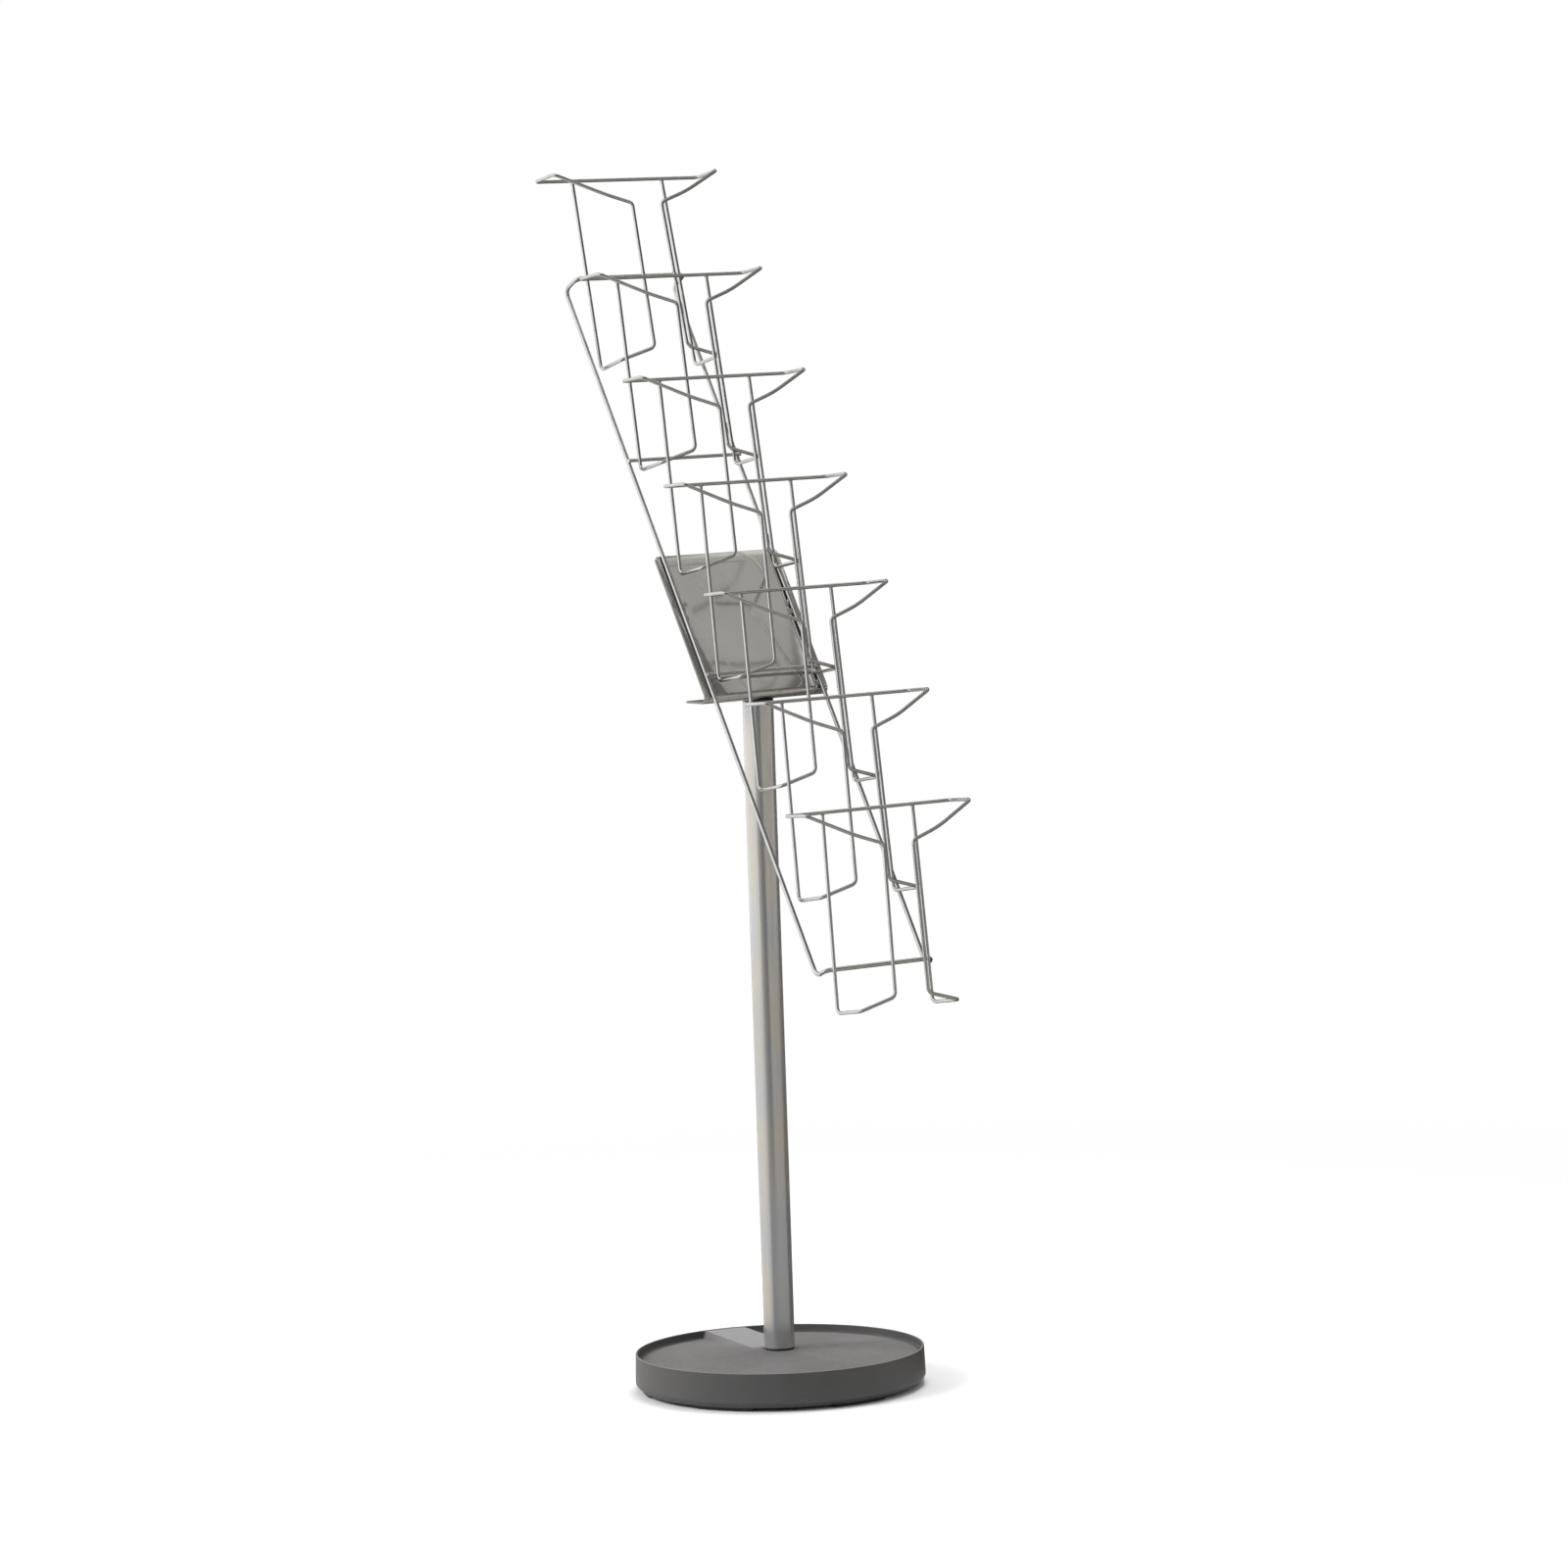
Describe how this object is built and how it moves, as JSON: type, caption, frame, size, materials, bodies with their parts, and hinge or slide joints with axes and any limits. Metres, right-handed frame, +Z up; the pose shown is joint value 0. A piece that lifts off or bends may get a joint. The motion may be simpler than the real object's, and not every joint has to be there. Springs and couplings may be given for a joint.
{
  "type": "periodical display rack",
  "caption": "Free-standing rack with stepped wire pockets for magazines and leaflets on a sloping wire frame, on a round pole with a weighted dish base.",
  "frame": {"origin": "on the floor, under the pole's axis", "axes": "+Z up along the pole; -Y is the side that the pockets face; +X is to the right of someone who stands in front and looks at the pockets, and the rack is symmetric about X = 0 but for the base's raised arm"},
  "size_m": [0.332, 0.5136, 1.3895],
  "materials": {
    "base_plastic": "moulded dark grey plastic, fine texture",
    "cover_plastic": "moulded plastic, plain",
    "cast_weight": "rough casting",
    "pad_rubber": "matte black",
    "zinc_screw": "zinc plated",
    "black_plug": "moulded black plastic",
    "brass_insert": "turned",
    "pole_steel": "satin tube",
    "head_screw_steel": "zinc plated",
    "bracket_steel": "satin sheet",
    "frame_wire": "silver coating on wire",
    "weld_metal": "weld bead under the silver coating",
    "pocket_wire": "silver coating on wire"
  },
  "bodies": {
    "stand": {"base_shell": "base_plastic", "base_cover": "cover_plastic", "base_weight": "cast_weight", "foot_pads": "pad_rubber", "cover_screws": "zinc_screw", "base_bolt": "zinc_screw", "base_washer": "zinc_screw", "pole_foot_plug": "black_plug", "foot_insert": "brass_insert", "pole_tube": "pole_steel", "pole_top_plug": "black_plug", "head_insert": "brass_insert", "head_screw": "head_screw_steel", "head_washer": "head_screw_steel"},
    "rack_head": {"bracket": "bracket_steel", "frame_loop": "frame_wire", "frame_welds": "weld_metal", "upper_crossbar": "frame_wire", "lower_crossbar": "frame_wire", "pocket_1": "pocket_wire", "pocket_2": "pocket_wire", "pocket_3": "pocket_wire", "pocket_4": "pocket_wire", "pocket_5": "pocket_wire", "pocket_6": "pocket_wire", "pocket_7": "pocket_wire"}
  },
  "joints": [
    {"name": "head_swivel", "type": "hinge", "parent": "stand", "child": "rack_head", "pos_m": [0, 0, 0.7889], "axis": [0, 0, 1], "continuous": true}
  ]
}
